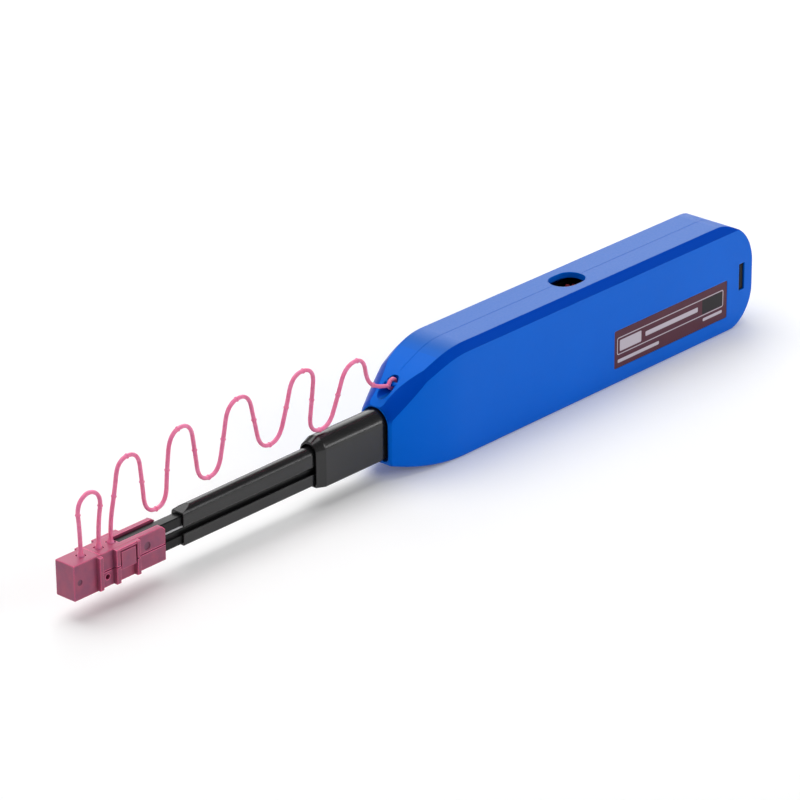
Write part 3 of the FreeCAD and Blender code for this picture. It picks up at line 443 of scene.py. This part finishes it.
def tetherFinish(look):
    finish = Finish("tetherPink", linear(*look["colour"]), Roughness=look["roughness"],
                    Subsurface_Weight=0.25, Subsurface_Scale=0.0005)
    body = finish.mix(finish.ramp(finish.noise(700, 3), 0.35, 0.65), linear(*look["deep"]), linear(*look["colour"]))
    finish.feed(body, "Base Color")
    finish.relief(finish.noise(4000, 1), 0.00001, 0.3)
    return finish.material


def plainFinish(name, colour, roughness=0.5, metallic=0.0, grain=1800, stretch=None, gloss=0.5):
    finish = Finish(name, linear(*colour), Roughness=roughness, Metallic=metallic, Specular_IOR_Level=gloss)
    dark = tuple(0.8 * v for v in linear(*colour))
    grainNoise = finish.noise(grain, 3, stretch)
    finish.feed(finish.mix(finish.ramp(grainNoise, 0.3, 0.7), dark, linear(*colour)), "Base Color")
    finish.relief(grainNoise, 0.00001, 0.5, 0.0001)
    return finish.material


def tapeFinish(look):
    # fine threads across the tape, darker between them
    finish = Finish("tapeCloth", linear(*look["colour"]), Roughness=0.85, Sheen_Weight=0.2)
    wave = finish.add("ShaderNodeTexWave", wave_type="BANDS", bands_direction="X")
    wave.inputs["Scale"].default_value = 0.314 / look["pitch"]
    finish.link(finish.place, wave.inputs["Vector"])
    thread = wave.outputs["Fac"]
    body = finish.mix(finish.ramp(thread, 0.1, 0.7), linear(*look["deep"]), linear(*look["colour"]))
    finish.feed(body, "Base Color")
    finish.relief(thread, 0.00004, 0.8)
    return finish.material


def labelFinish(look):
    # distance to a rounded box, outside it above zero: |p - centre| - half size + corner, its length, less the corner
    finish = Finish("labelFilm", linear(*look["ground"]), Roughness=0.42, Specular_IOR_Level=0.25)
    x, z = finish.axis("X"), finish.axis("Z")

    def boxDistance(x0, x1, z0, z1, corner):
        out = []
        for along, low, high in ((x, x0, x1), (z, z0, z1)):
            offset = finish.math("ABSOLUTE", finish.math("SUBTRACT", along, (low + high) / 2), 0)
            out.append(finish.math("MAXIMUM", finish.math("SUBTRACT", offset, (high - low) / 2 - corner), 0))
        return finish.math("SUBTRACT", finish.length(*out), corner)

    plain = linear(*look["ground"])
    ground = finish.mix(finish.ramp(finish.noise(300, 3), 0.3, 0.7), tuple(0.88 * v for v in plain), plain)
    line = finish.math("ABSOLUTE", boxDistance(*look["frame"], look["corner"]), 0)
    block = boxDistance(*look["dark"], look["corner"] * 0.6)
    colour = finish.mix(finish.ramp(block, 0.00005, -0.00005), ground, linear(*look["block"]))
    for bar in look["bars"]:
        line = finish.math("MINIMUM", line, finish.math("MAXIMUM", boxDistance(*bar, 0.0002), 0))
    colour = finish.mix(finish.ramp(line, look["stroke"], look["stroke"] * 0.5), colour, linear(*look["line"]))
    finish.feed(colour, "Base Color")
    finish.relief(finish.noise(2600, 1), 0.000005, 0.3, 0.00012)
    return finish.material


finishes = {
    "shell_blue": handleFinish(handleLook),
    "label_maroon": labelFinish(labelLook),
    "sleeve_black": blackFinish("sleeveBlack", sleeveLook),
    "tip_black": blackFinish("tipBlack", {**sleeveLook, "gloss": 0.22, "roughness": 0.34, "rounding": 0.0001}),
    "tape_cloth": tapeFinish(tapeLook),
    "chassis_black": plainFinish("chassisBlack", (14, 14, 16), 0.4, gloss=0.15),
    "gear_white": plainFinish("gearWhite", (222, 220, 212), 0.4),
    "reel_red": plainFinish("reelRed", (120, 18, 24), 0.4),
    "steel": plainFinish("axleSteel", (170, 170, 174), 0.3, 1.0, 900, (0.1, 1, 1)),
    "cap_magenta": capFinish(capLook),
    "tether_pink": tetherFinish(tetherLook),
}
slotOf = {part["node"]: part["material_slot"] for part in frame["record"]["subparts"]}
for name, node in nodes.items():
    node.data.materials.clear()
    node.data.materials.append(finishes[slotOf[name]])
for piece in tetherPieces:
    piece.data.materials.append(finishes["tether_pink"])
springCoil.data.materials.append(finishes["steel"])
print("finishes given")

# a pale floor under soft lamps

studio = {
    "floor": 0.80, "floorSeen": 0.95,   # its colour for light, and for the camera and reflections
    "glow": 0.08,                       # of its own, for the camera and reflections only
    "sky": {"horizon": 0.46, "zenith": 0.22, "height": 0.55},      # strengths, and the sine where the zenith's begins
    "aim": (0.0, 0.0, 0.015),           # metres, where every lamp points
    "lamps": [
        {"name": "keyLamp", "place": (0.0, 0.35, 1.05), "size": 1.3, "power": 9.8},
        {"name": "sideLamp", "place": (0.45, -1.0, 0.5), "size": 0.6, "power": 3.0},
        {"name": "backPanel", "place": (1.05, 0.9, 0.62), "size": 0.9, "power": 4.6},
        {"name": "noseLamp", "place": (-1.0, 0.1, 0.7), "size": 0.5, "power": 1.5},
        {"name": "lowStrip", "place": (0.78, -0.74, 0.17), "size": 0.22, "power": 0.95},
    ],
}


def softLamp(name, place, size, power, aim):
    light = bpy.data.lights.new(name, "AREA")
    light.shape, light.size, light.energy = "DISK", size, power
    lamp = bpy.data.objects.new(name, light)
    lamp.location = place
    lamp.rotation_mode = "QUATERNION"
    lamp.rotation_quaternion = (Vector(place) - Vector(aim)).to_track_quat("Z", "Y")
    bpy.context.scene.collection.objects.link(lamp)


def makeSky(look):
    # bright near the horizon, dimmer overhead; below the horizon it is never seen
    world = bpy.data.worlds.new("studio")
    bpy.context.scene.world = world
    world.use_nodes = True
    tree = world.node_tree
    place = tree.nodes.new("ShaderNodeTexCoord")
    split = tree.nodes.new("ShaderNodeSeparateXYZ")
    level = tree.nodes.new("ShaderNodeMapRange")
    level.interpolation_type = "SMOOTHSTEP"
    level.inputs["From Min"].default_value, level.inputs["From Max"].default_value = 0.0, look["height"]
    level.inputs["To Min"].default_value, level.inputs["To Max"].default_value = look["horizon"], look["zenith"]
    background = tree.nodes["Background"]
    background.inputs["Color"].default_value = (1, 1, 1, 1)
    tree.links.new(place.outputs["Generated"], split.inputs[0])
    tree.links.new(split.outputs["Z"], level.inputs["Value"])
    tree.links.new(level.outputs["Result"], background.inputs["Strength"])


def makeStudio(look):
    mesh = bpy.data.meshes.new("floor")
    mesh.from_pydata([(-6, -6, 0), (6, -6, 0), (6, 6, 0), (-6, 6, 0)], [], [(0, 1, 2, 3)])
    floor = bpy.data.objects.new("floor", mesh)
    bpy.context.scene.collection.objects.link(floor)
    finish = Finish("floorPale", (look["floor"],) * 3, Roughness=0.9, Specular_IOR_Level=0.0)
    ray = finish.add("ShaderNodeLightPath").outputs
    seen = finish.math("MAXIMUM", ray["Is Camera Ray"], ray["Is Glossy Ray"])
    seen = finish.math("MAXIMUM", seen, ray["Is Transmission Ray"])
    finish.feed(finish.mix(seen, (look["floor"],) * 3, (look["floorSeen"],) * 3), "Base Color")
    finish.shader.inputs["Emission Color"].default_value = (1, 1, 1, 1)
    finish.feed(finish.math("MULTIPLY", seen, look["glow"]), "Emission Strength")
    mesh.materials.append(finish.material)
    makeSky(look["sky"])
    for lamp in look["lamps"]:
        softLamp(**lamp, aim=look["aim"])


makeStudio(studio)
bpy.context.scene.view_settings.view_transform = "Standard"
print("studio lit")
